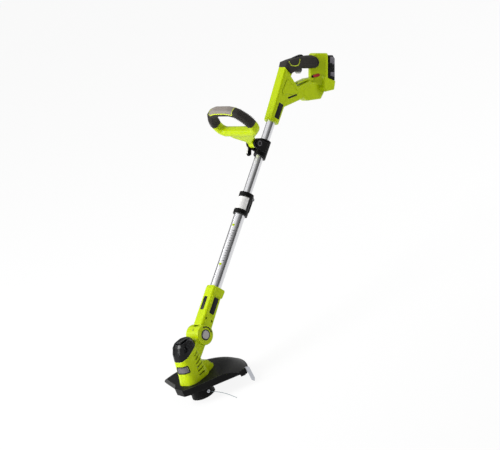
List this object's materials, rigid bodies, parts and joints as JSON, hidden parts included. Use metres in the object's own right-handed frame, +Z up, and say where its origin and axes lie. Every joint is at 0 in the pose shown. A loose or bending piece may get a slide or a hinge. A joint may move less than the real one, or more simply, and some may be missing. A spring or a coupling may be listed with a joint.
{
  "type": "string trimmer",
  "caption": "Hand-held string trimmer with tilting motor head, guard, telescopic tube shaft, adjustable front loop handle and rear trigger handle with battery and mains inlet.",
  "frame": {"origin": "middle of the flat bottom face of the spool cap", "axes": "+Z up the spool axis, +Y back along the tool to the user, +X to the side of the head pivot that has the push button"},
  "size_m": [0.3197, 1.0002, 0.6838],
  "materials": {
    "lime_plastic": "satin",
    "black_plastic": "fine grained",
    "dark_rubber": "matt",
    "grey_rubber": "matt",
    "tube_aluminium": "satin anodised",
    "steel": "brushed",
    "button_metal": "polished",
    "badge_grey": "smooth",
    "label_white": "smooth",
    "switch_red": "smooth",
    "switch_black": "smooth",
    "nylon_line": "smooth",
    "brass_contact": "plain",
    "motor_iron": "plain",
    "board_green": "plain",
    "pale_plastic": "plain"
  },
  "bodies": {
    "rear_handle": {"rear_housing_right": "lime_plastic", "rear_housing_left": "lime_plastic", "rear_housing_screws": "steel", "rear_grip": "dark_rubber", "upper_tube": "tube_aluminium", "shaft_lead": "black_plastic", "trigger_pin": "steel", "trigger_switch": "switch_black", "mode_switch": "switch_black", "terminal_block": "brass_contact", "converter_board": "board_green", "mains_inlet": "switch_black", "inlet_pins": "brass_contact", "front_clamp": "black_plastic", "handle_bolt": "steel"},
    "trigger": {"trigger": "dark_rubber"},
    "lock_off": {"lock_off_button": "black_plastic"},
    "mode_slider": {"mode_slider": "switch_red"},
    "battery": {"battery_case": "black_plastic", "battery_lid": "black_plastic", "battery_cells": "pale_plastic"},
    "battery_latch_right": {"battery_latch_right": "black_plastic"},
    "battery_latch_left": {"battery_latch_left": "black_plastic"},
    "front_handle": {"front_handle_frame": "lime_plastic", "front_handle_grip": "dark_rubber", "front_handle_pad": "grey_rubber"},
    "handle_lever": {"handle_lock_lever": "black_plastic"},
    "coupler": {"guide_bush": "pale_plastic", "coupler_body": "black_plastic", "coupler_label": "label_white", "lever_pin": "steel"},
    "coupler_lever": {"coupler_lever": "black_plastic"},
    "lower_shaft": {"lower_tube": "tube_aluminium", "lower_sleeve_right": "lime_plastic", "lower_sleeve_left": "lime_plastic", "sleeve_screws": "steel"},
    "head": {"motor_housing_right": "lime_plastic", "motor_housing_left": "lime_plastic", "motor_cover": "black_plastic", "badge_plate": "badge_grey", "motor_can": "steel", "motor_bracket": "steel", "motor_bearings": "steel", "pivot_axle": "steel", "button_bezel": "switch_black", "guard": "black_plastic", "guard_screws": "steel", "line_cutter": "steel"},
    "pivot_button": {"pivot_button": "button_metal"},
    "spool": {"spool_cap": "black_plastic", "spool_housing": "black_plastic", "eyelet": "steel", "line_reel": "black_plastic", "line_winding": "nylon_line", "feed_spring": "steel", "drive_hub": "black_plastic", "motor_shaft": "steel", "motor_armature": "motor_iron", "trimmer_line": "nylon_line"}
  },
  "joints": [
    {"name": "trigger_pull", "type": "hinge", "parent": "rear_handle", "child": "trigger", "pos_m": [0, 0.79042, 0.63799], "axis": [1, 0, 0], "range_deg": [0, 14], "stiffness_Nm_per_rad": 0.6, "springref_deg": -11.46},
    {"name": "lock_off_press", "type": "slide", "parent": "rear_handle", "child": "lock_off", "axis": [0, -0.5225, -0.8526], "range_m": [0, 0.003], "stiffness_N_per_m": 600, "springref_m": -0.001},
    {"name": "mode_select", "type": "slide", "parent": "rear_handle", "child": "mode_slider", "axis": [-0.6537, -0.7378, 0.1684], "range_m": [0, 0.006]},
    {"name": "battery_slide", "type": "slide", "parent": "rear_handle", "child": "battery", "axis": [0, 0.8526, -0.5225], "range_m": [0, 0.045]},
    {"name": "latch_press_right", "type": "slide", "parent": "battery", "child": "battery_latch_right", "axis": [-1, 0, 0], "range_m": [0, 0.0025], "stiffness_N_per_m": 500, "springref_m": -0.001},
    {"name": "latch_press_left", "type": "slide", "parent": "battery", "child": "battery_latch_left", "axis": [1, 0, 0], "range_m": [0, 0.0025], "stiffness_N_per_m": 500, "springref_m": -0.001},
    {"name": "front_handle_tilt", "type": "hinge", "parent": "rear_handle", "child": "front_handle", "pos_m": [0, 0.54929, 0.52714], "axis": [1, 0, 0], "range_deg": [-30, 30]},
    {"name": "handle_lever_turn", "type": "hinge", "parent": "rear_handle", "child": "handle_lever", "pos_m": [0, 0.54929, 0.52714], "axis": [1, 0, 0], "range_deg": [-30, 90]},
    {"name": "shaft_telescope", "type": "slide", "parent": "rear_handle", "child": "coupler", "axis": [0, 0.8241, 0.5664], "range_m": [-0.1, 0.08]},
    {"name": "coupler_lever_open", "type": "hinge", "parent": "coupler", "child": "coupler_lever", "pos_m": [0, 0.45301, 0.39181], "axis": [1, 0, 0], "range_deg": [0, 95]},
    {"name": "shaft_turn", "type": "hinge", "parent": "coupler", "child": "lower_shaft", "pos_m": [0, 0.076, 0.16], "axis": [0, 0.8241, 0.5664], "range_deg": [0, 180]},
    {"name": "head_tilt", "type": "hinge", "parent": "lower_shaft", "child": "head", "pos_m": [0, 0.076, 0.16], "axis": [1, 0, 0], "range_deg": [-35, 25]},
    {"name": "pivot_button_press", "type": "slide", "parent": "head", "child": "pivot_button", "axis": [-1, 0, 0], "range_m": [0, 0.005], "stiffness_N_per_m": 500, "springref_m": -0.001},
    {"name": "spool_spin", "type": "hinge", "parent": "head", "child": "spool", "pos_m": [0, 0, 0], "axis": [0, 0, 1], "continuous": true}
  ]
}
